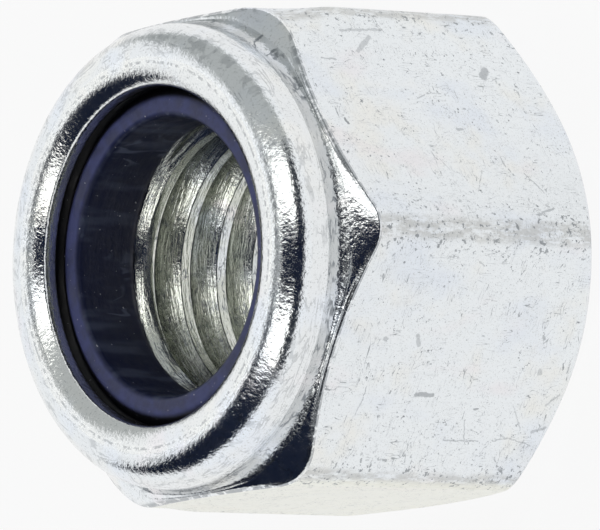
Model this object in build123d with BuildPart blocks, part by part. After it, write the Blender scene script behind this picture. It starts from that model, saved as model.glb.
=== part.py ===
"""Nylon insert lock nut, M12 x 1.75, 18 mm across flats.

The nut stands on its bearing face. The origin is the centre of that face and
+Z runs along the thread axis towards the rolled collar. Sizes are millimetres.
"""

import os
from math import atan2, cos, degrees, radians, sin, tan

from build123d import *

# Hexagon
across_flats = 18.0
corner_rounding = 1.25
bearing_face_step = 0.4
bearing_chamfer_angle = 40.0
shoulder_angle = 30.0
chamfer_crown = 0.04

# Heights, from the rolled end down
overall_height = 14.5
collar_height = 2.1
insert_height = 3.1

# Rolled collar
collar_step = 0.3
collar_wall = 0.8
collar_outer_bend = 1.3
collar_root_chamfer = 0.2
crest_reach = 1.5
lip_reach = 2.4
lip_roll_drop = 0.45
lip_roll_crown = 0.12
lip_underside_chamfer = 0.2

# Tapping bore: the wall stands at the minor diameter of an M12 x 1.75 thread
thread_minor_diameter = 10.106
bearing_countersink_width = 1.45
bearing_countersink_angle = 120.0
seat_countersink_width = 0.45
seat_countersink_angle = 90.0

# Nylon ring
insert_bore_margin = 0.17
insert_edge_chamfer = 0.2
insert_side_clearance = 0.05
insert_shoulder_clearance = 0.05

# Radii that follow from the sizes above
sharp_corner_radius = across_flats / 2 / cos(radians(30))
bearing_radius = across_flats / 2 - bearing_face_step
collar_radius = across_flats / 2 - collar_step
recess_radius = collar_radius - collar_wall
crest_radius = collar_radius - crest_reach
lip_bore_radius = collar_radius - lip_reach
minor_radius = thread_minor_diameter / 2
bearing_countersink_radius = minor_radius + bearing_countersink_width
seat_countersink_radius = minor_radius + seat_countersink_width
insert_bore_radius = minor_radius + insert_bore_margin

# Heights that follow from the sizes above
bearing_chamfer_height = (sharp_corner_radius - bearing_radius) * tan(radians(bearing_chamfer_angle))
collar_root_height = overall_height - collar_height
shoulder_drop = (sharp_corner_radius - collar_radius) * tan(radians(shoulder_angle))
recess_roof_height = overall_height - collar_wall
recess_roof_chamfer = collar_outer_bend - collar_wall
insert_seat_height = recess_roof_height - insert_height
bearing_countersink_depth = bearing_countersink_width / tan(radians(bearing_countersink_angle / 2))
seat_countersink_depth = seat_countersink_width / tan(radians(seat_countersink_angle / 2))

# Outward direction of the rolled lip, square to the line from the crest to the lip's edge
lip_roll_angle = 90 + degrees(atan2(lip_roll_drop, lip_reach - crest_reach))


def crowned(start, end, outward_angle, crown=chamfer_crown):
    """Three points of a crowned face: its ends, and its middle raised along an outward angle."""
    middle = (
        (start[0] + end[0]) / 2 + crown * cos(radians(outward_angle)),
        (start[1] + end[1]) / 2 + crown * sin(radians(outward_angle)),
    )
    return start, middle, end


def section_corner(section, point):
    """The corner of a section sketch that lies nearest to a (radius, height) point."""
    return section.vertices().sort_by_distance((point[0], point[1], 0))[0]


os.makedirs("parts", exist_ok=True)

# Steel body: a hexagonal bar with rounded corners, kept only where it lies inside
# the turned section of the finished nut, bore, insert recess and rolled lip included.
with BuildPart() as nut_body:
    with BuildSketch() as hexagon:
        RegularPolygon(radius=across_flats / 2, side_count=6, major_radius=False, rotation=30)
        fillet(hexagon.vertices(), radius=corner_rounding)
    extrude(amount=overall_height)

    bearing_edge = (bearing_radius, 0)
    bearing_corner = (sharp_corner_radius, bearing_chamfer_height)
    shoulder_corner = (sharp_corner_radius, collar_root_height - shoulder_drop)
    collar_root = (collar_radius, collar_root_height)
    collar_edge = (collar_radius, overall_height)
    lip_crest = (crest_radius, overall_height)
    lip_edge = (lip_bore_radius, overall_height - lip_roll_drop)
    lip_underside = (lip_bore_radius, recess_roof_height)
    recess_roof = (recess_radius, recess_roof_height)

    with BuildSketch(Plane.XZ) as turned_section:
        with BuildLine():
            Polyline(collar_root, collar_edge, lip_crest)
            ThreePointArc(crowned(lip_crest, lip_edge, lip_roll_angle, lip_roll_crown))
            Polyline(
                lip_edge,
                lip_underside,
                recess_roof,
                (recess_radius, insert_seat_height),
                (seat_countersink_radius, insert_seat_height),
                (minor_radius, insert_seat_height - seat_countersink_depth),
                (minor_radius, bearing_countersink_depth),
                (bearing_countersink_radius, 0),
                bearing_edge,
            )
            ThreePointArc(crowned(bearing_edge, bearing_corner, bearing_chamfer_angle - 90))
            Line(bearing_corner, shoulder_corner)
            ThreePointArc(crowned(shoulder_corner, collar_root, 90 - shoulder_angle))
        make_face()
        fillet(section_corner(turned_section, collar_edge), radius=collar_outer_bend)
        chamfer(section_corner(turned_section, collar_root), length=collar_root_chamfer)
        chamfer(section_corner(turned_section, lip_underside), length=lip_underside_chamfer)
        chamfer(section_corner(turned_section, recess_roof), length=recess_roof_chamfer)
    revolve(axis=Axis.Z, mode=Mode.INTERSECT)

nut_body.part.label = "nut_body"
export_step(nut_body.part, "parts/nut_body.step")

# Nylon ring: it rests on the seat and is gripped under the lip. Its bore is a little
# wider than the thread's minor diameter, so a bolt's thread cuts its own way into it.
with BuildPart() as nylon_insert:
    with BuildSketch(Plane.XY.offset(insert_seat_height)):
        Circle(recess_radius - insert_side_clearance)
        Circle(insert_bore_radius, mode=Mode.SUBTRACT)
    extrude(amount=insert_height)
    rims = nylon_insert.edges().filter_by(GeomType.CIRCLE).sort_by(SortBy.RADIUS)
    outer_top_rim = rims[-2:].sort_by(Axis.Z)[-1]
    chamfer(rims[:2], length=insert_edge_chamfer)
    chamfer(outer_top_rim, length=recess_roof_chamfer + insert_shoulder_clearance)

nylon_insert.part.label = "nylon_insert"
export_step(nylon_insert.part, "parts/nylon_insert.step")
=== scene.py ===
import math

import bmesh
import bpy
from mathutils import Matrix, Vector


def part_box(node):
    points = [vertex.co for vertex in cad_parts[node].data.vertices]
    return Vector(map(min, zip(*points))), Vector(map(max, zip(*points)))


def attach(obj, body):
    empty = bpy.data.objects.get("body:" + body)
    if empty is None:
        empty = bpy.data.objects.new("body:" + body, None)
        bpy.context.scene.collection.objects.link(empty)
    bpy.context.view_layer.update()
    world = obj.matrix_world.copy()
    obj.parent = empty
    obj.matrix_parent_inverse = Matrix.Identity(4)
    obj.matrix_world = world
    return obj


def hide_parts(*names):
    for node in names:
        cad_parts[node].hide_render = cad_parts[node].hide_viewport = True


# Tables are in millimetres and degrees; cameras and meshes are made in metres.
mm = 0.001

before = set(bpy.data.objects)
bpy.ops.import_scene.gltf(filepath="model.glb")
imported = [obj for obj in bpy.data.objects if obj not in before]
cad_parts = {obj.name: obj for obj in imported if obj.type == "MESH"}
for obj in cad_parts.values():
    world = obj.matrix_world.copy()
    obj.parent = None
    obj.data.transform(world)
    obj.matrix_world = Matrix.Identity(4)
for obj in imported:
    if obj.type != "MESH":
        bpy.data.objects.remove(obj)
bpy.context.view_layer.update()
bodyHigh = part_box("nut_body")[1]
ringLow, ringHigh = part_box("nylon_insert")
print("frame loaded")


# Camera

cameraView = {
    "azimuth": 21.51,       # from +X towards +Y
    "elevation": 39.93,
    "roll": -87.4,          # lays the thread axis across the picture
    "distance": 450.0,
    "target": (-3.36, -1.43, 3.89),
    "lens": 710.75,
    "sensor": 36.0,
    "nearest": 0.01,        # metres
    "furthest": 20.0,
}


def viewAxes(view):
    azimuth = math.radians(view["azimuth"])
    elevation = math.radians(view["elevation"])
    roll = math.radians(view["roll"])
    back = Vector((math.cos(elevation) * math.cos(azimuth),
                   math.cos(elevation) * math.sin(azimuth),
                   math.sin(elevation)))
    levelRight = Vector((-math.sin(azimuth), math.cos(azimuth), 0.0))
    levelUp = back.cross(levelRight)
    right = levelRight * math.cos(roll) + levelUp * math.sin(roll)
    return right, back.cross(right), back


def addCamera(view):
    right, up, back = viewAxes(view)
    data = bpy.data.cameras.new("camera")
    data.sensor_width = view["sensor"]
    data.lens = view["lens"]
    data.clip_start = view["nearest"]
    data.clip_end = view["furthest"]
    camera = bpy.data.objects.new("camera", data)
    place = (Vector(view["target"]) + back * view["distance"]) * mm
    camera.matrix_world = Matrix.Translation(place) @ Matrix((right, up, back)).transposed().to_4x4()
    bpy.context.scene.collection.objects.link(camera)
    bpy.context.scene.camera = camera


addCamera(cameraView)
bpy.context.scene.view_settings.view_transform = "Standard"
print("camera set")


# Helpers for shader nodes. A value is a number, a tuple or the output of another node.

def emptyTree(owner):
    owner.use_nodes = True
    owner.node_tree.nodes.clear()
    return owner.node_tree


def newNode(tree, kind, **values):
    node = tree.nodes.new(kind)
    for name, value in values.items():
        setattr(node, name, value)
    return node


def feed(tree, socket, value):
    if isinstance(value, bpy.types.NodeSocket):
        tree.links.new(value, socket)
    else:
        socket.default_value = value


def opaque(color, gain=1.0):
    return tuple(min(part * gain, 1.0) for part in color) + (1.0,)


def calculate(tree, operation, first, second=0.0, clamp=False):
    node = newNode(tree, "ShaderNodeMath", operation=operation, use_clamp=clamp)
    feed(tree, node.inputs[0], first)
    feed(tree, node.inputs[1], second)
    return node.outputs[0]


def plus(tree, first, second):
    return calculate(tree, "ADD", first, second)


def minus(tree, first, second):
    return calculate(tree, "SUBTRACT", first, second)


def times(tree, first, second):
    return calculate(tree, "MULTIPLY", first, second)


def larger(tree, first, second):
    return calculate(tree, "MAXIMUM", first, second)


def distance(tree, value, level):
    return calculate(tree, "ABSOLUTE", minus(tree, value, level))


def vectorNode(tree, operation, first, second=(0.0, 0.0, 0.0)):
    node = newNode(tree, "ShaderNodeVectorMath", operation=operation)
    feed(tree, node.inputs[0], first)
    feed(tree, node.inputs[1], second)
    return node.outputs["Value" if operation in ("DOT_PRODUCT", "LENGTH") else "Vector"]


def rangeNode(tree, value, limits, results, interpolation):
    node = newNode(tree, "ShaderNodeMapRange", interpolation_type=interpolation)
    feed(tree, node.inputs["Value"], value)
    node.inputs["From Min"].default_value = limits[0]
    node.inputs["From Max"].default_value = limits[1]
    node.inputs["To Min"].default_value = results[0]
    node.inputs["To Max"].default_value = results[1]
    return node.outputs["Result"]


def ramp(tree, value, start, end, results=(0.0, 1.0)):
    # a soft step from the first result to the second; the start may be the larger value
    return rangeNode(tree, value, (start, end), results, "SMOOTHSTEP")


def mixColor(tree, factor, first, second):
    node = newNode(tree, "ShaderNodeMix", data_type="RGBA", blend_type="MIX")
    feed(tree, node.inputs[0], factor)
    feed(tree, node.inputs[6], first)
    feed(tree, node.inputs[7], second)
    return node.outputs[2]


# Light tent

# Each panel is placed by the tilt of the metal face that mirrors it to the camera: the turn of that
# face from the camera's azimuth, and its slope above level at the first and at the last turn.
lightTent = {
    "cloth": (0.95, 0.965, 0.98),
    "strength": 1.0,
    "edge": 1.6,            # how soft the panels' borders are
    "panels": [
        {"name": "greyWallNear", "turn": (29, 70), "low": (30, 39), "high": (79, 81),
         "color": (0.46, 0.48, 0.48)},
        {"name": "greyWallFar", "turn": (68, 107), "low": (38, 51), "high": (82, 54),
         "color": (0.46, 0.48, 0.48)},
        {"name": "darkRoomNear", "turn": (-72, -31), "low": (48, 38), "high": (79, 83),
         "color": (0.008, 0.012, 0.026)},
        {"name": "darkRoomFar", "turn": (-100, -70), "low": (62, 47), "high": (64, 80),
         "color": (0.008, 0.012, 0.026)},
        {"name": "sweepGap", "turn": (-30, 30), "low": (30.5, 30.5), "high": (82, 82),
         "color": (0.03, 0.035, 0.045)},
        {"name": "lowerBox", "turn": (-28, -11), "low": (44, 43), "high": (73, 73),
         "color": (2.0, 2.0, 1.95)},
        {"name": "upperBox", "turn": (10, 28.5), "low": (43, 43), "high": (75, 75),
         "color": (2.0, 2.0, 1.95)},
        {"name": "opening", "turn": (-11, 10), "low": (30.5, 30.5), "high": (70, 70),
         "color": (0.008, 0.012, 0.028)},
        {"name": "openingTop", "turn": (-13.5, 13), "low": (53, 50), "high": (67, 72),
         "color": (0.008, 0.012, 0.028)},
        {"name": "ceilingStrip", "turn": (-13, 13), "low": (70, 70), "high": (91, 91),
         "color": (0.36, 0.38, 0.39)},
        {"name": "lowerTop", "turn": (-52, -13), "low": (84, 82), "high": (91, 91),
         "color": (1.4, 1.4, 1.38)},
        {"name": "upperTop", "turn": (13, 56), "low": (83, 84), "high": (91, 91),
         "color": (1.4, 1.4, 1.38)},
    ],
}


def mirrorTilt(tree, direction, view):
    # the face that mirrors this direction to the camera looks halfway between the two
    back = viewAxes(view)[2]
    upward = Vector((0.0, 0.0, 1.0))
    across = upward.cross(back).normalized()
    level = across.cross(upward)
    halfway = vectorNode(tree, "NORMALIZE", vectorNode(tree, "ADD", direction, back))
    parts = newNode(tree, "ShaderNodeSeparateXYZ")
    feed(tree, parts.inputs[0], halfway)
    sideways = vectorNode(tree, "DOT_PRODUCT", halfway, across)
    forwards = vectorNode(tree, "DOT_PRODUCT", halfway, level)
    turn = calculate(tree, "DEGREES", calculate(tree, "ARCTAN2", sideways, forwards))
    slope = calculate(tree, "DEGREES", calculate(tree, "ARCSINE", parts.outputs["Z"]))
    return turn, slope


def panelMask(tree, turn, slope, panel, edge):
    half = edge / 2
    first, last = panel["turn"]
    low = rangeNode(tree, turn, panel["turn"], panel["low"], "LINEAR")
    high = rangeNode(tree, turn, panel["turn"], panel["high"], "LINEAR")
    mask = ramp(tree, turn, first - half, first + half)
    mask = times(tree, mask, ramp(tree, turn, last + half, last - half))
    mask = times(tree, mask, ramp(tree, minus(tree, slope, low), -half, half))
    return times(tree, mask, ramp(tree, minus(tree, high, slope), -half, half))


def hangLightTent(tent, view):
    world = bpy.data.worlds.new("lightTent")
    bpy.context.scene.world = world
    tree = emptyTree(world)
    direction = newNode(tree, "ShaderNodeTexCoord").outputs["Generated"]
    turn, slope = mirrorTilt(tree, direction, view)
    color = opaque(tent["cloth"])
    for panel in tent["panels"]:
        mask = panelMask(tree, turn, slope, panel, tent["edge"])
        color = mixColor(tree, mask, color, tuple(panel["color"]) + (1.0,))
    background = newNode(tree, "ShaderNodeBackground")
    feed(tree, background.inputs["Color"], color)
    background.inputs["Strength"].default_value = tent["strength"]
    output = newNode(tree, "ShaderNodeOutputWorld")
    feed(tree, output.inputs["Surface"], background.outputs[0])


hangLightTent(lightTent, cameraView)
print("light tent hung")


# Floor

floorCard = {
    "size": 3000.0,
    "paper": (0.88, 0.885, 0.89),
    "glow": 0.89,           # how much of what is seen is the even white of the background
}


def floorMaterial(card):
    material = bpy.data.materials.new("floorPaper")
    tree = emptyTree(material)
    path = newNode(tree, "ShaderNodeLightPath")
    seen = larger(tree, path.outputs["Is Camera Ray"], path.outputs["Is Glossy Ray"])
    seen = larger(tree, seen, path.outputs["Is Transmission Ray"])
    paper = newNode(tree, "ShaderNodeBsdfDiffuse")
    paper.inputs["Color"].default_value = opaque(card["paper"])
    white = newNode(tree, "ShaderNodeEmission")
    white.inputs["Strength"].default_value = 1.0
    mix = newNode(tree, "ShaderNodeMixShader")
    feed(tree, mix.inputs[0], times(tree, seen, card["glow"]))
    feed(tree, mix.inputs[1], paper.outputs[0])
    feed(tree, mix.inputs[2], white.outputs[0])
    output = newNode(tree, "ShaderNodeOutputMaterial")
    feed(tree, output.inputs["Surface"], mix.outputs[0])
    return material


def layFloor(card):
    half = card["size"] / 2 * mm
    corners = [(-half, -half, 0), (half, -half, 0), (half, half, 0), (-half, half, 0)]
    mesh = bpy.data.meshes.new("floor")
    mesh.from_pydata(corners, [], [(0, 1, 2, 3)])
    mesh.materials.append(floorMaterial(card))
    floor = bpy.data.objects.new("floor", mesh)
    bpy.context.scene.collection.objects.link(floor)


layFloor(floorCard)
print("floor laid")


# Helpers for sections. A point is (radius, height).

def smoothStep(value):
    value = min(max(value, 0.0), 1.0)
    return value * value * (3 - 2 * value)


def onCircle(radius, angle, height):
    return (radius * math.cos(angle), radius * math.sin(angle), height)


def slopeOf(angle):
    return math.tan(math.radians(angle))


def straight(start, end, count, crown=0.0):
    # points from the start to just before the end, lifted in the middle by the crown
    length = math.dist(start, end)
    sideways = ((end[1] - start[1]) / length, -(end[0] - start[0]) / length)
    points = []
    for k in range(count):
        t = k / count
        lift = crown * 4 * t * (1 - t)
        points.append(tuple(start[i] + (end[i] - start[i]) * t + sideways[i] * lift for i in (0, 1)))
    return points


def roundedCorner(before, corner, after, reach, count):
    # a short parabola from just before the corner to just after it
    longest = 0.45          # of the side before or after
    first = min(reach / math.dist(before, corner), longest)
    last = min(reach / math.dist(corner, after), longest)
    start = [corner[i] + (before[i] - corner[i]) * first for i in (0, 1)]
    end = [corner[i] + (after[i] - corner[i]) * last for i in (0, 1)]
    points = []
    for k in range(count + 1):
        t = k / count
        points.append(tuple(start[i] * (1 - t) ** 2 + 2 * corner[i] * t * (1 - t) + end[i] * t ** 2
                            for i in (0, 1)))
    return points


def arc(centre, radius, fromAngle, toAngle, count):
    # points from the first angle to just before the last
    points = []
    for k in range(count):
        turn = math.radians(fromAngle + (toAngle - fromAngle) * k / count)
        points.append((centre[0] + radius * math.cos(turn), centre[1] + radius * math.sin(turn)))
    return points


def weldedObject(name, vertices, faces, faceZones):
    weld = 0.0004 * mm
    mesh = bpy.data.meshes.new(name)
    mesh.from_pydata([tuple(c * mm for c in vertex) for vertex in vertices], [], faces)
    for polygon, zone in zip(mesh.polygons, faceZones):
        polygon.material_index = zone
    work = bmesh.new()
    work.from_mesh(mesh)
    bmesh.ops.remove_doubles(work, verts=work.verts, dist=weld)
    bmesh.ops.dissolve_degenerate(work, edges=work.edges, dist=weld)
    bmesh.ops.recalc_face_normals(work, faces=work.faces)
    openEdges = sum(1 for edge in work.edges if not edge.is_manifold)
    work.to_mesh(mesh)
    work.free()
    mesh.shade_smooth()
    print(name, len(mesh.polygons), "faces", openEdges, "open edges")
    piece = bpy.data.objects.new(name, mesh)
    bpy.context.scene.collection.objects.link(piece)
    return piece


# Nut body

nutForm = {
    "halfFlats": bodyHigh.x / mm,
    "height": bodyHigh.z / mm,
    "cornerRounding": 1.25,
    # the forging did not quite fill its corners under the collar; corners at 30, 90 ... 330 degrees
    "shoulderRounding": (1.7, 3.8, 2.6, 2.2, 3.0, 2.4),
    "underfillFrom": 8.6,
    "bearingRadius": 8.6,
    "bearingSlope": 40.0,
    "bearingCrown": 0.03,
    "faceEdge": 0.15,       # where the flat bearing face starts to turn into its chamfer
    "shoulderSlope": 30.0,
    "shoulderCrown": 0.04,
    "edgeSoftening": 0.09,
    "collarRadius": 8.7,
    "collarRoot": 12.4,
    "rootFillet": 0.42,
    "bendRadius": 1.3,
    "crestRadius": 7.2,
    "rollRadius": 1.2,
    "rollTurn": 45.0,
    "lipEdge": 0.14,
    "lipFoot": (6.30, 13.64),
    "footEdge": 0.05,
    "wall": 0.8,
    "roofChamfer": 0.5,
    "seatHeight": ringLow.z / mm,
}

# rows of faces along each part of the section
nutRows = {"face": 6, "edge": 3, "bearing": 7, "flat": 32, "shoulder": 10, "root": 5, "collar": 4,
           "bend": 20, "crest": 3, "roll": 14, "lipWall": 5, "underLip": 4, "roof": 2, "recess": 4,
           "seat": 4}

# columns of faces round the nut, closer together at the corners
nutColumns = {"flat": 42, "corner": 18}

threadForm = {
    "minorRadius": 5.053,
    "majorRadius": 6.0,
    "pitch": 1.75,
    "phase": -0.208,
    "crestHalf": 1 / 8,             # of the pitch
    "flank": 5 / 16,
    "topCone": (0.45, 45.0),        # how much wider at the end, and half angle
    "bottomCone": (1.45, 60.0),
    "runOut": (0.12, 0.3),          # where the groove ends below the seat, and over what height
    # places of the rows in half a pitch, close together where the profile bends
    "knots": (0.105, 0.125, 0.145, 0.21, 0.29, 0.37, 0.415, 0.4375, 0.475),
    "spareTurns": (2, 2),           # below and above the bore
}

zoneNames = ["base", "flat", "shoulder", "root", "collar", "lip", "inner", "thread"]


def columnAngles(form, columns):
    tangentReach = (form["halfFlats"] - max(form["shoulderRounding"])) * slopeOf(30)
    flatHalf = math.degrees(math.atan2(tangentReach, form["halfFlats"]))
    angles = []
    for side in range(6):
        middle = 60.0 * side
        for k in range(columns["flat"]):
            angles.append(math.radians(middle - flatHalf + 2 * flatHalf * k / columns["flat"]))
        for k in range(columns["corner"]):
            cornerWidth = 60.0 - 2 * flatHalf
            angles.append(math.radians(middle + flatHalf + cornerWidth * k / columns["corner"]))
    return angles


def hexRadius(half, angle, rounding):
    # radius of a hexagon with rounded corners
    fromFlat = (math.degrees(angle) + 30.0) % 60.0 - 30.0
    tangentReach = (half - rounding) * slopeOf(30)
    if abs(fromFlat) < math.degrees(math.atan2(tangentReach, half)):
        return half / math.cos(math.radians(fromFlat))
    fromCorner = math.radians(30.0 - abs(fromFlat))
    centre = (half - rounding) / math.cos(math.radians(30))
    return centre * math.cos(fromCorner) + math.sqrt(rounding ** 2 - (centre * math.sin(fromCorner)) ** 2)


def hexRows(form, thread, rows, angle):
    # the section at this angle, from the bearing face up the outside to the collar's root
    edge = hexRadius(form["halfFlats"], angle, form["cornerRounding"])
    corner = int(math.degrees(angle) % 360.0 // 60.0)
    topEdge = hexRadius(form["halfFlats"], angle, form["shoulderRounding"][corner])
    soft = form["edgeSoftening"]
    mouth = (thread["minorRadius"] + thread["bottomCone"][0], 0.0)
    bearing = (form["bearingRadius"], 0.0)
    faceEnd = (form["bearingRadius"] - form["faceEdge"], 0.0)
    flatLow = (edge, (edge - form["bearingRadius"]) * slopeOf(form["bearingSlope"]))
    drop = (topEdge - form["collarRadius"]) * slopeOf(form["shoulderSlope"])
    flatHigh = (topEdge, form["collarRoot"] - drop)
    flatBelow = (topEdge, flatHigh[1] - 1.0)
    root = (form["collarRadius"], form["collarRoot"])
    collarTop = (form["collarRadius"], form["height"] - form["bendRadius"])

    bearingEdge = roundedCorner(mouth, bearing, flatLow, soft, rows["edge"])
    lowEdge = roundedCorner(bearing, flatLow, flatHigh, soft, rows["edge"])
    highEdge = roundedCorner(flatBelow, flatHigh, root, soft, rows["edge"])
    rootCorner = roundedCorner(flatHigh, root, collarTop, form["rootFillet"], rows["root"])
    flat = []
    flatTop = highEdge[0][1]
    for _, height in straight((edge, lowEdge[-1][1]), highEdge[0], rows["flat"])[1:]:
        underfill = smoothStep((height - form["underfillFrom"]) / (flatTop - form["underfillFrom"]))
        flat.append((edge + (topEdge - edge) * underfill, height))
    return [
        ("base", straight(mouth, faceEnd, rows["face"])),
        ("base", bearingEdge),
        ("base", straight(bearingEdge[-1], lowEdge[0], rows["bearing"], form["bearingCrown"])[1:]),
        ("flat", lowEdge),
        ("flat", flat),
        ("shoulder", highEdge),
        ("shoulder", straight(highEdge[-1], rootCorner[0], rows["shoulder"], form["shoulderCrown"])[1:]),
        ("root", rootCorner),
    ]


def collarRows(form, thread, rows, rootEnd):
    # on from the root, over the bend and the rolled lip, down the recess to the insert's seat
    top = form["height"]
    bendCentre = (form["collarRadius"] - form["bendRadius"], top - form["bendRadius"])
    collarTop = (form["collarRadius"], bendCentre[1])
    crest = (form["crestRadius"], top)
    rollCentre = (form["crestRadius"], top - form["rollRadius"])
    rollTurn = math.radians(form["rollTurn"])
    rollEnd = (rollCentre[0] - form["rollRadius"] * math.sin(rollTurn),
               rollCentre[1] + form["rollRadius"] * math.cos(rollTurn))
    recessRadius = form["collarRadius"] - form["wall"]
    roof = (recessRadius - form["roofChamfer"], top - form["wall"])
    recessTop = (recessRadius, roof[1] - form["roofChamfer"])
    recessLow = (recessRadius, form["seatHeight"])
    seatEdge = (thread["minorRadius"] + thread["topCone"][0], form["seatHeight"])

    roll = arc(rollCentre, form["rollRadius"], 90, 90 + form["rollTurn"], rows["roll"])
    lipEdge = roundedCorner(roll[-2], rollEnd, form["lipFoot"], form["lipEdge"], rows["edge"])
    footEdge = roundedCorner(rollEnd, form["lipFoot"], roof, form["footEdge"], rows["edge"])
    return [
        ("collar", straight(rootEnd, collarTop, rows["collar"])[1:]),
        ("collar", arc(bendCentre, form["bendRadius"], 0, 90, rows["bend"])),
        ("lip", straight((bendCentre[0], top), crest, rows["crest"])),
        ("lip", roll[:-1]),
        ("lip", lipEdge),
        ("lip", straight(lipEdge[-1], footEdge[0], rows["lipWall"])[1:]),
        ("lip", footEdge),
        ("inner", straight(footEdge[-1], roof, rows["underLip"])[1:]),
        ("inner", straight(roof, recessTop, rows["roof"])),
        ("inner", straight(recessTop, recessLow, rows["recess"])),
        ("inner", straight(recessLow, seatEdge, rows["seat"])),
    ]


def nutSection(form, thread, rows, angle):
    parts = hexRows(form, thread, rows, angle)
    rootEnd = parts[-1][1][-1]
    parts += collarRows(form, thread, rows, rootEnd)
    return [(zone, point) for zone, points in parts for point in points]


def threadRadius(thread, top, height, angle):
    place = (height / thread["pitch"] - angle / math.tau + thread["phase"]) % 1.0
    fromCrest = min(place, 1.0 - place)
    depth = min(max((fromCrest - thread["crestHalf"]) / thread["flank"], 0.0), 1.0)
    endGap, endLength = thread["runOut"]
    fade = min(max((top - endGap - height) / endLength, 0.0), 1.0)
    groove = thread["minorRadius"] + (thread["majorRadius"] - thread["minorRadius"]) * depth * fade
    topWide, topAngle = thread["topCone"]
    lowWide, lowAngle = thread["bottomCone"]
    topCone = thread["minorRadius"] + topWide - (top - height) * slopeOf(topAngle)
    lowCone = thread["minorRadius"] + lowWide - height * slopeOf(lowAngle)
    return max(groove, topCone, lowCone)


def threadBand(form, thread, angles):
    # rows that follow the thread's own helix and are cut off at the seat and at the bearing face
    top = form["seatHeight"]
    below, above = thread["spareTurns"]
    steps = [0.0] + list(thread["knots"]) + [1.0 - knot for knot in reversed(thread["knots"])]
    turns = math.ceil(top / thread["pitch"]) + below + above
    levels = [turn + step for turn in range(turns) for step in steps]
    band = []
    for angle in angles + [angles[0] + math.tau]:
        for level in levels:
            height = (level - below - thread["phase"] + angle / math.tau) * thread["pitch"]
            height = min(max(height, 0.0), top)
            band.append(onCircle(threadRadius(thread, top, height, angle), angle, height))
    return band, len(levels)


def buildNutMesh(form, thread, rowCounts, columns):
    angles = columnAngles(form, columns)
    sections = [nutSection(form, thread, rowCounts, angle) for angle in angles]
    vertices = [onCircle(radius, angle, height)
                for section, angle in zip(sections, angles) for _, (radius, height) in section]
    faces = []
    faceZones = []
    count = len(angles)
    rows = len(sections[0])
    for j in range(count):
        here = j * rows
        there = (j + 1) % count * rows
        for k in range(rows - 1):
            faces.append((here + k, there + k, there + k + 1, here + k + 1))
            faceZones.append(zoneNames.index(sections[0][k][0]))

    band, bandRows = threadBand(form, thread, angles)
    base = len(vertices)
    vertices += band
    for j in range(count):
        here = base + j * bandRows
        there = here + bandRows
        for k in range(bandRows - 1):
            faces.append((here + k, here + k + 1, there + k + 1, there + k))
            faceZones.append(zoneNames.index("thread"))

    # the seat's inner edge closes onto the band's top row
    top = form["seatHeight"]
    for j in range(count):
        following = (j + 1) % count
        ring = len(vertices)
        for angle in (angles[j], angles[following]):
            vertices.append(onCircle(threadRadius(thread, top, top, angle), angle, top))
        faces.append((j * rows + rows - 1, following * rows + rows - 1, ring + 1, ring))
        faceZones.append(zoneNames.index("inner"))
    return vertices, faces, faceZones


bodyVertices, bodyFaces, bodyZones = buildNutMesh(nutForm, threadForm, nutRows, nutColumns)
nutBody = weldedObject("nutBody", bodyVertices, bodyFaces, bodyZones)
print("nut body turned and tapped")


# Nylon ring

ringForm = {
    "outer": 7.85,
    "bore": 5.223,
    "low": ringLow.z / mm,
    "high": ringHigh.z / mm,
    "lowChamfer": 0.2,
    "outerChamfer": 0.55,
    "roofEdge": 7.0,        # inside this radius the ring falls away under the lip
    "moat": (6.42, ringHigh.z / mm - 0.62),
    "moatEdge": 5.98,
    "moatRounding": 0.2,
    "face": ringHigh.z / mm - 0.20,
    "boreRounding": 0.22,
    "columns": 300,
}

ringRowCounts = {"bore": 14, "chamfer": 3, "base": 4, "side": 5, "roof": 2, "moatWall": 6, "moatFloor": 4,
                 "moatEdge": 5, "face": 8, "boreEdge": 8}


def ringSection(form, rows):
    # a closed section, from the bore's upper end down, round the outside and back over the face
    low, high, outer, bore = form["low"], form["high"], form["outer"], form["bore"]
    chamfer = form["lowChamfer"]
    rounding = form["boreRounding"]
    face = form["face"]
    moat = form["moat"]
    sideTop = (outer, high - form["outerChamfer"])
    roofStart = (outer - form["outerChamfer"], high)
    roofEnd = (form["roofEdge"], high)
    moatEdge = roundedCorner(moat, (form["moatEdge"], face), (bore, face), form["moatRounding"],
                             rows["moatEdge"])
    points = straight((bore, face - rounding), (bore, low + chamfer), rows["bore"])[1:]
    points += straight((bore, low + chamfer), (bore + chamfer, low), rows["chamfer"])
    points += straight((bore + chamfer, low), (outer, low), rows["base"])
    points += straight((outer, low), sideTop, rows["side"])
    points += straight(sideTop, roofStart, rows["chamfer"])
    points += straight(roofStart, roofEnd, rows["roof"])
    points += straight(roofEnd, moat, rows["moatWall"])
    points += straight(moat, moatEdge[0], rows["moatFloor"])
    points += moatEdge
    points += straight(moatEdge[-1], (bore + rounding, face), rows["face"])[1:]
    points += arc((bore + rounding, face - rounding), rounding, 90, 180, rows["boreEdge"])
    points.append((bore, face - rounding))
    return points


def buildRingMesh(form, rowCounts):
    section = ringSection(form, rowCounts)
    rows = len(section)
    count = form["columns"]
    vertices = [onCircle(radius, math.tau * j / count, height)
                for j in range(count) for radius, height in section]
    faces = []
    for j in range(count):
        here = j * rows
        there = (j + 1) % count * rows
        for k in range(rows):
            upper = (k + 1) % rows
            faces.append((here + k, there + k, there + upper, here + upper))
    return vertices, faces


ringVertices, ringFaces = buildRingMesh(ringForm, ringRowCounts)
nylonRing = weldedObject("nylonRing", ringVertices, ringFaces, [0] * len(ringFaces))
print("nylon ring turned")


# Helpers for finishes. Places on the surface are in millimetres.

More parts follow.
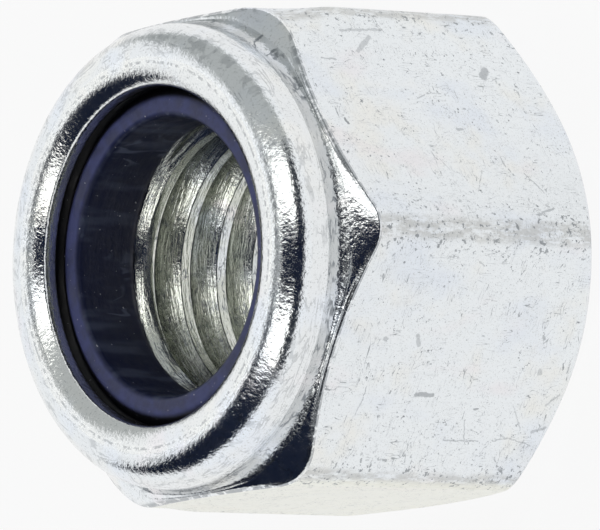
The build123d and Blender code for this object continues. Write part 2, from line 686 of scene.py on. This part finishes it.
def surfacePlace(tree):
    toMillimetres = (1 / mm, 1 / mm, 1 / mm)
    place = newNode(tree, "ShaderNodeTexCoord").outputs["Object"]
    place = vectorNode(tree, "MULTIPLY", place, toMillimetres)
    parts = newNode(tree, "ShaderNodeSeparateXYZ")
    feed(tree, parts.inputs[0], place)
    outward = vectorNode(tree, "MULTIPLY", place, (1.0, 1.0, 0.0))
    radius = vectorNode(tree, "LENGTH", outward)
    return {"place": place, "x": parts.outputs["X"], "y": parts.outputs["Y"], "height": parts.outputs["Z"],
            "outward": outward, "radius": radius}


def turnedPlace(tree, surface, around, across):
    # a place for marks that run round the nut: changes around it and across its section
    combine = newNode(tree, "ShaderNodeCombineXYZ")
    section = plus(tree, times(tree, surface["height"], across), times(tree, surface["radius"], across))
    feed(tree, combine.inputs[2], section)
    direction = vectorNode(tree, "NORMALIZE", surface["outward"])
    direction = vectorNode(tree, "MULTIPLY", direction, (around, around, 0.0))
    return vectorNode(tree, "ADD", direction, combine.outputs[0])


def noiseField(tree, place, scale, detail, rough=0.5, warp=0.0):
    node = newNode(tree, "ShaderNodeTexNoise")
    feed(tree, node.inputs["Vector"], place)
    node.inputs["Scale"].default_value = scale
    node.inputs["Detail"].default_value = detail
    node.inputs["Roughness"].default_value = rough
    node.inputs["Distortion"].default_value = warp
    return node.outputs["Fac"]


def stretched(tree, place, scales, turn):
    node = newNode(tree, "ShaderNodeMapping")
    feed(tree, node.inputs["Vector"], place)
    node.inputs["Rotation"].default_value = [math.radians(angle) for angle in turn]
    node.inputs["Scale"].default_value = scales
    return node.outputs[0]


def spots(tree, place, look):
    if "stretch" in look:
        place = stretched(tree, place, look["stretch"], look["turn"])
    field = noiseField(tree, place, look["scale"], look["detail"], look["rough"])
    return ramp(tree, field, *look["limits"])


def hairlines(tree, place, look):
    # thin lines where a stretched noise crosses its middle value, broken up by a second noise
    lineNoise = {"scale": 1.0, "detail": 1.0, "rough": 0.5, "warp": 0.4}
    field = noiseField(tree, stretched(tree, place, look["stretch"], look["turn"]), **lineNoise)
    line = ramp(tree, distance(tree, field, 0.5), look["width"], look["width"] * 0.3)
    gaps = {"scale": look["gaps"], "detail": 2.0, "rough": 0.5, "limits": (0.54, 0.62)}
    return times(tree, line, spots(tree, place, gaps))


def finishMaterial(tree, shader, relief, reach):
    bump = newNode(tree, "ShaderNodeBump")
    bump.inputs["Strength"].default_value = 1.0
    bump.inputs["Distance"].default_value = reach
    feed(tree, bump.inputs["Height"], relief)
    feed(tree, shader.inputs["Normal"], bump.outputs[0])
    output = newNode(tree, "ShaderNodeOutputMaterial")
    feed(tree, output.inputs["Surface"], shader.outputs[0])


# Zinc plated steel

# For each zone of the nut: colour, roughness, grain as (scale, depth), turning marks as (change around,
# change across, depth), and the shares of grey specks and of dark scribbles that run round the nut.
zincFinish = {
    "base": {"color": (0.86, 0.88, 0.89), "roughness": 0.36, "grain": (7.0, 0.004),
             "turning": (26.0, 5.0, 0.003), "specks": 0.5, "seams": 0.0},
    "flat": {"color": (0.895, 0.925, 0.945), "roughness": 0.38, "grain": (7.5, 0.0060),
             "turning": None, "specks": 1.6, "seams": 0.0},
    "shoulder": {"color": (0.86, 0.88, 0.89), "roughness": 0.12, "grain": (4.2, 0.0056),
                 "turning": (12.0, 4.0, 0.0012), "specks": 0.5, "seams": 0.35},
    # the root fillet's darker colour is painted shade in the crease between the shoulder and the collar
    "root": {"color": (0.58, 0.60, 0.61), "roughness": 0.20, "grain": (3.4, 0.016),
             "turning": (9.0, 5.0, 0.022), "specks": 1.2, "seams": 0.95},
    "collar": {"color": (0.84, 0.86, 0.87), "roughness": 0.13, "grain": (4.6, 0.0072),
               "turning": (28.0, 3.0, 0.0012), "specks": 0.6, "seams": 0.35},
    "lip": {"color": (0.86, 0.87, 0.86), "roughness": 0.13, "grain": (5.2, 0.0075),
            "turning": (34.0, 3.0, 0.0012), "specks": 0.6, "seams": 0.0},
    # the inner zone's dark colour is painted shade under the lip and down the recess
    "inner": {"color": (0.40, 0.41, 0.41), "roughness": 0.35, "grain": (7.0, 0.006),
              "turning": (20.0, 5.0, 0.005), "specks": 0.4, "seams": 0.3},
    # the thread's darker colour is painted shade inside the bore
    "thread": {"color": (0.68, 0.70, 0.64), "roughness": 0.17, "grain": (7.0, 0.004),
               "turning": (4.0, 4.5, 0.018), "specks": 0.5, "seams": 0.8},
}

# What all zones share. Spots appear where a noise rises through their limits.
zincLook = {
    "tints": [
        {"name": "straw", "scale": 0.33, "detail": 3.0, "rough": 0.6, "limits": (0.50, 0.72),
         "share": 0.7, "color": (0.91, 0.90, 0.85)},
        {"name": "rose", "stretch": (1.0, 1.0, 0.5), "turn": (0, 0, 40), "scale": 0.5, "detail": 2.0,
         "rough": 0.5, "limits": (0.58, 0.75), "share": 0.6, "color": (0.90, 0.86, 0.88)},
        {"name": "blue", "stretch": (1.0, 1.0, 0.7), "turn": (30, 0, 10), "scale": 0.42, "detail": 2.0,
         "rough": 0.5, "limits": (0.50, 0.72), "share": 0.6, "color": (0.80, 0.85, 0.93)},
    ],
    "fineGrain": {"finer": 2.3, "limits": (0.45, 0.24), "color": (0.58, 0.60, 0.60)},
    "specks": {"scale": 6.5, "detail": 3.0, "rough": 0.62, "limits": (0.625, 0.70), "share": 0.8},
    "patches": {"scale": 0.8, "detail": 3.0, "rough": 0.6, "limits": (0.42, 0.62)},
    "hairlines": [
        {"stretch": (5.0, 5.0, 0.9), "turn": (0, 0, 0), "width": 0.012, "gaps": 1.1},
        {"stretch": (0.9, 0.9, 5.0), "turn": (0, 0, 0), "width": 0.010, "gaps": 1.3},
        {"stretch": (4.0, 1.0, 4.0), "turn": (40, 0, 0), "width": 0.009, "gaps": 1.2},
    ],
    "hairlineShare": 0.45,
    "dirt": (0.25, 0.27, 0.29),
    "dirtRoughness": 0.07,
    "grainRoughness": (0.75, 1.25),
    # full swing of each noise, as a multiple of its depth in the table above
    "swing": {"grain": 2.5, "fine": 0.8, "turning": 2.0},
}

seamLook = {
    "around": 5.0,
    "across": 3.2,
    "width": (0.045, 0.012),
    "breaks": {"scale": 1.3, "detail": 2.0, "rough": 0.5, "limits": (0.42, 0.58)},
}

# the dashed seam on the lip's crest, and the ragged line between the chamfer and the flats
crestSeam = {
    "width": (0.075, 0.03),
    "dashes": {"scale": 3.6, "detail": 3.0, "rough": 0.7, "limits": (0.46, 0.56)},
    "share": 0.5,
}
rimLine = {
    "width": (0.22, 0.08),
    "breaks": {"scale": 2.6, "detail": 3.0, "rough": 0.7, "limits": (0.40, 0.52)},
    "share": 0.65,
}

flatLook = {
    # limits for the corner edges are on a scale from -1 in the middle of a flat to 1 on the edge
    "cornerBandEdge": (0.94, 0.995),
    "smear": {"stretch": (1.0, 1.0, 0.35), "turn": (0, 0, 0), "scale": 4.0, "detail": 4.0, "rough": 0.7,
              "limits": (0.36, 0.58)},
    "cornerBandShare": 0.62,
    "cornerBandColor": (0.52, 0.52, 0.50),
    "warmSide": -60.0,
    "warmFrom": (8.7, 8.95),
    "warmShare": 0.75,
    "warmColor": (0.97, 0.965, 0.87),
    "pits": {"scale": 4.5, "detail": 3.0, "rough": 0.6, "limits": (0.60, 0.66)},
    "pitsFrom": (0.60, 0.98),
    "pitShare": 0.8,
    "raggedScale": 5.0,
    "raggedReach": 0.16,
}

# Knocks and scratches on the flats that face 60 and 0 degrees. Both ends as (way round the flat, height),
# then half width and share of dirt.
flatMarks = {
    60: [((3.95, 9.35), (4.1, 7.3), 0.06, 0.36), ((3.7, 8.05), (3.0, 8.95), 0.10, 0.38),
         ((2.1, 3.25), (2.4, 3.0), 0.17, 0.55), ((-0.3, 11.15), (-0.5, 11.1), 0.06, 0.8),
         ((-0.5, 5.8), (-0.5, 5.5), 0.07, 0.45), ((0.9, 7.05), (1.2, 6.25), 0.03, 0.45),
         ((-4.4, 3.75), (-4.05, 2.8), 0.05, 0.5), ((-2.4, 5.5), (-3.45, 6.2), 0.02, 0.45),
         ((-1.65, 4.3), (-2.15, 4.25), 0.03, 0.5), ((-2.45, 3.45), (-3.3, 2.9), 0.03, 0.45),
         ((2.55, 10.95), (2.55, 10.25), 0.05, 0.45), ((-1.95, 7.35), (-2.45, 7.1), 0.02, 0.5)],
    0: [((0.85, 8.4), (0.5, 8.2), 0.09, 0.4), ((-1.5, 7.6), (-1.5, 6.8), 0.09, 0.6),
        ((0.7, 9.9), (0.65, 9.85), 0.09, 0.4), ((-1.4, 8.9), (-1.45, 8.9), 0.05, 0.7),
        ((1.0, 2.25), (0.9, 2.2), 0.07, 0.5), ((-0.35, 1.95), (-0.45, 1.9), 0.10, 0.35),
        ((-0.05, 0.9), (-0.3, 0.85), 0.035, 0.8), ((-3.3, 5.6), (-3.3, 3.9), 0.035, 0.45),
        ((-2.45, 4.9), (-3.4, 4.55), 0.03, 0.45), ((-3.25, 3.25), (-3.1, 2.2), 0.03, 0.45),
        ((-3.05, 2.9), (-3.4, 1.3), 0.03, 0.4), ((4.4, 8.7), (4.6, 8.65), 0.05, 0.5),
        ((3.9, 6.5), (3.75, 6.25), 0.04, 0.35), ((-1.8, 10.1), (-1.3, 10.1), 0.03, 0.5),
        ((-2.4, 10.25), (-1.8, 10.1), 0.03, 0.35), ((-1.75, 2.75), (-2.8, 2.0), 0.025, 0.35),
        ((-2.85, 1.4), (-2.65, 0.8), 0.06, 0.4), ((-1.75, 1.15), (-1.3, 0.6), 0.05, 0.35)],
}


def facing(azimuth):
    return Vector((math.cos(math.radians(azimuth)), math.sin(math.radians(azimuth)), 0.0))


def markOnFlat(tree, place, azimuth, first, last, halfWidth):
    # everything within half a width of a short line on the flat that faces this azimuth
    outward = facing(azimuth)
    sideways = Vector((-outward.y, outward.x, 0.0))
    start, end = (outward * nutForm["halfFlats"] + sideways * around + Vector((0.0, 0.0, height))
                  for around, height in (first, last))
    along = end - start
    fromStart = vectorNode(tree, "SUBTRACT", place, start)
    share = calculate(tree, "DIVIDE", vectorNode(tree, "DOT_PRODUCT", fromStart, along),
                      along.length_squared, clamp=True)
    step = newNode(tree, "ShaderNodeVectorMath", operation="SCALE")
    step.inputs[0].default_value = along
    feed(tree, step.inputs["Scale"], share)
    away = vectorNode(tree, "LENGTH", vectorNode(tree, "SUBTRACT", fromStart, step.outputs[0]))
    return ramp(tree, away, halfWidth * 1.25, halfWidth * 0.7)


def allMarks(tree, surface):
    # the place is shaken a little, so that the marks get ragged borders
    shake = newNode(tree, "ShaderNodeTexNoise")
    feed(tree, shake.inputs["Vector"], surface["place"])
    shake.inputs["Scale"].default_value = flatLook["raggedScale"]
    shift = vectorNode(tree, "SUBTRACT", shake.outputs["Color"], (0.5, 0.5, 0.5))
    shift = vectorNode(tree, "MULTIPLY", shift, (flatLook["raggedReach"],) * 3)
    ragged = vectorNode(tree, "ADD", surface["place"], shift)
    total = 0.0
    for azimuth, marks in flatMarks.items():
        for first, last, halfWidth, share in marks:
            mark = times(tree, markOnFlat(tree, ragged, azimuth, first, last, halfWidth), share)
            total = larger(tree, total, mark)
    return total


def azimuthOf(tree, surface):
    return calculate(tree, "ARCTAN2", surface["y"], surface["x"])


def cornerNearness(tree, surface):
    # 1 on the six corner edges of the hexagon, -1 in the middle of each flat
    sixfold = calculate(tree, "COSINE", times(tree, azimuthOf(tree, surface), 6.0))
    return times(tree, sixfold, -1.0)


def roundSeams(tree, surface, share):
    # dark scribbles that run round the nut, from rolling and from cutting the thread
    place = turnedPlace(tree, surface, seamLook["around"], seamLook["across"])
    seams = noiseField(tree, place, scale=1.0, detail=3.0, rough=0.6, warp=0.5)
    seams = ramp(tree, distance(tree, seams, 0.5), *seamLook["width"])
    breaks = spots(tree, surface["place"], seamLook["breaks"])
    return times(tree, seams, times(tree, breaks, share))


def lipSeam(tree, surface):
    crest = ramp(tree, distance(tree, surface["radius"], nutForm["crestRadius"]), *crestSeam["width"])
    dashes = spots(tree, surface["place"], crestSeam["dashes"])
    return times(tree, times(tree, crest, dashes), crestSeam["share"])


def shoulderRim(tree, surface):
    # the azimuth folds back at every flat and corner, which gives the angle from the nearest flat
    fromFlat = calculate(tree, "PINGPONG", azimuthOf(tree, surface), math.radians(30))
    reach = times(tree, surface["radius"], calculate(tree, "COSINE", fromFlat))
    rim = ramp(tree, minus(tree, nutForm["halfFlats"], reach), *rimLine["width"])
    rim = times(tree, rim, spots(tree, surface["place"], rimLine["breaks"]))
    return times(tree, rim, rimLine["share"])


def flatWear(tree, surface, color, dirt):
    # darker bands along the corner edges, one warmer flat, pits near the corners, and the knocks and
    # scratches
    look = flatLook
    corner = cornerNearness(tree, surface)
    cornerBand = times(tree, ramp(tree, corner, *look["cornerBandEdge"]), spots(tree, surface["place"], look["smear"]))
    color = mixColor(tree, times(tree, cornerBand, look["cornerBandShare"]), color, opaque(look["cornerBandColor"]))
    towards = vectorNode(tree, "DOT_PRODUCT", surface["place"], facing(look["warmSide"]))
    warm = times(tree, ramp(tree, towards, *look["warmFrom"]), look["warmShare"])
    color = mixColor(tree, warm, color, opaque(look["warmColor"]))
    pits = spots(tree, surface["place"], look["pits"])
    pits = times(tree, pits, ramp(tree, corner, *look["pitsFrom"]))
    dirt = larger(tree, dirt, times(tree, pits, look["pitShare"]))
    color = mixColor(tree, allMarks(tree, surface), color, opaque(zincLook["dirt"]))
    return color, dirt


def specksAndLines(tree, surface, amount):
    look = zincLook
    specks = spots(tree, surface["place"], look["specks"])
    patches = spots(tree, surface["place"], look["patches"])
    specks = times(tree, specks, times(tree, patches, amount * look["specks"]["share"]))
    lines = 0.0
    for hairline in look["hairlines"]:
        lines = larger(tree, lines, hairlines(tree, surface["place"], hairline))
    return larger(tree, specks, times(tree, lines, amount * look["hairlineShare"]))


def zincMaterial(zone, finish):
    look = zincLook
    material = bpy.data.materials.new("zinc" + zone.capitalize())
    tree = emptyTree(material)
    surface = surfacePlace(tree)
    place = surface["place"]
    color = opaque(finish["color"])
    for tint in look["tints"]:
        color = mixColor(tree, times(tree, spots(tree, place, tint), tint["share"]), color,
                         opaque(tint["color"]))
    grainScale, grainDepth = finish["grain"]
    grain = noiseField(tree, place, grainScale, detail=3.0, rough=0.6)
    fine = noiseField(tree, place, grainScale * look["fineGrain"]["finer"], detail=2.0, rough=0.6)
    color = mixColor(tree, ramp(tree, fine, *look["fineGrain"]["limits"]), color,
                     opaque(look["fineGrain"]["color"]))
    dirt = specksAndLines(tree, surface, finish["specks"])
    if finish["seams"]:
        dirt = larger(tree, dirt, roundSeams(tree, surface, finish["seams"]))
    if zone == "lip":
        dirt = larger(tree, dirt, lipSeam(tree, surface))
    if zone == "shoulder":
        dirt = larger(tree, dirt, shoulderRim(tree, surface))
    if zone == "flat":
        color, dirt = flatWear(tree, surface, color, dirt)
    color = mixColor(tree, dirt, color, opaque(look["dirt"]))

    shader = newNode(tree, "ShaderNodeBsdfPrincipled")
    shader.inputs["Metallic"].default_value = 1.0
    feed(tree, shader.inputs["Base Color"], color)
    smoother, rougher = (finish["roughness"] * part for part in look["grainRoughness"])
    rough = ramp(tree, grain, 0.3, 0.7, (smoother, rougher))
    feed(tree, shader.inputs["Roughness"], plus(tree, rough, times(tree, dirt, look["dirtRoughness"])))

    # heights in metres, so that the relief is as deep as the tables say
    swing = look["swing"]
    relief = times(tree, grain, grainDepth * swing["grain"] * mm)
    relief = plus(tree, relief, times(tree, fine, grainDepth * swing["fine"] * mm))
    if finish["turning"]:
        around, across, depth = finish["turning"]
        turned = noiseField(tree, turnedPlace(tree, surface, around, across), scale=1.0, detail=3.0,
                            rough=0.6)
        relief = plus(tree, relief, times(tree, turned, depth * swing["turning"] * mm))
    finishMaterial(tree, shader, relief, 1.0)
    return material


for zone in zoneNames:
    nutBody.data.materials.append(zincMaterial(zone, zincFinish[zone]))
print("zinc plated")


# Blue nylon

nylonLook = {
    "face": (0.046, 0.054, 0.150),
    "faceFrom": (0.03, 0.22),       # outside the bore's radius
    "cloud": {"scale": 1.6, "detail": 3.0, "rough": 0.5, "limits": (0.3, 0.7)},
    "cloudTone": (0.72, 1.3),
    "cloudRoughness": (0.8, 1.2),
    "roughness": 0.42,
    "specular": 0.32,
    # the moat's near-black colour is painted shade in the groove under the lip
    "moat": (0.003, 0.003, 0.006),
    "moatShadeFrom": (-0.12, 0.10),      # either side of the moat's edge
    # the bore's darker colour is painted shade deep in the hole
    "bore": (0.003, 0.007, 0.040),
    "fan": {"stretch": (1.3, 1.3, 0.35), "turn": (35, 20, 0), "width": 0.05, "gaps": 0.5},
    "fanShare": 0.8,
    "streaks": {"stretch": (1.6, 1.6, 0.3), "turn": (30, 15, 0), "scale": 1.0, "detail": 2.0,
                "rough": 0.5, "limits": (0.46, 0.7)},
    "streakShare": 0.45,
    "streakColor": (0.10, 0.12, 0.19),
    "dust": {"scale": 7.0, "detail": 2.0, "rough": 0.5, "limits": (0.735, 0.76)},
    "dustColor": (0.55, 0.56, 0.62),
    "reliefScale": 5.0,
    "turning": (4.0, 4.0),
    "relief": 0.012,
}


def nylonMaterial(look, form):
    material = bpy.data.materials.new("blueNylon")
    tree = emptyTree(material)
    surface = surfacePlace(tree)
    place = surface["place"]
    # painted shade: towards the bore the face colour gives way to the darker bore colour
    onFace = ramp(tree, surface["radius"], *(form["bore"] + part for part in look["faceFrom"]))
    cloud = spots(tree, place, look["cloud"])
    dark, light = (opaque(look["face"], tone) for tone in look["cloudTone"])
    color = mixColor(tree, onFace, opaque(look["bore"]), mixColor(tree, cloud, dark, light))
    # painted shade: the groove under the lip is coloured near black
    moatShade = ramp(tree, surface["radius"], *(form["moatEdge"] + part for part in look["moatShadeFrom"]))
    color = mixColor(tree, moatShade, color, opaque(look["moat"]))

    # light streaks in the bore only, and dust everywhere
    fan = times(tree, hairlines(tree, place, look["fan"]), look["fanShare"])
    streaks = times(tree, spots(tree, place, look["streaks"]), look["streakShare"])
    streaks = times(tree, larger(tree, streaks, fan), minus(tree, 1.0, onFace))
    color = mixColor(tree, streaks, color, opaque(look["streakColor"]))
    color = mixColor(tree, spots(tree, place, look["dust"]), color, opaque(look["dustColor"]))

    shader = newNode(tree, "ShaderNodeBsdfPrincipled")
    shader.inputs["Specular IOR Level"].default_value = look["specular"]
    feed(tree, shader.inputs["Base Color"], color)
    roughness = tuple(look["roughness"] * part for part in look["cloudRoughness"])
    feed(tree, shader.inputs["Roughness"], ramp(tree, cloud, 0.0, 1.0, roughness))
    relief = noiseField(tree, place, look["reliefScale"], detail=3.0, rough=0.6)
    turned = noiseField(tree, turnedPlace(tree, surface, *look["turning"]), scale=1.0, detail=2.0)
    finishMaterial(tree, shader, plus(tree, relief, turned), look["relief"] * mm)
    return material


nylonRing.data.materials.append(nylonMaterial(nylonLook, ringForm))
print("nylon finished")


# Hand over to the frame

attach(nutBody, "root")
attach(nylonRing, "root")
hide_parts("nut_body")
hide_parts("nylon_insert")
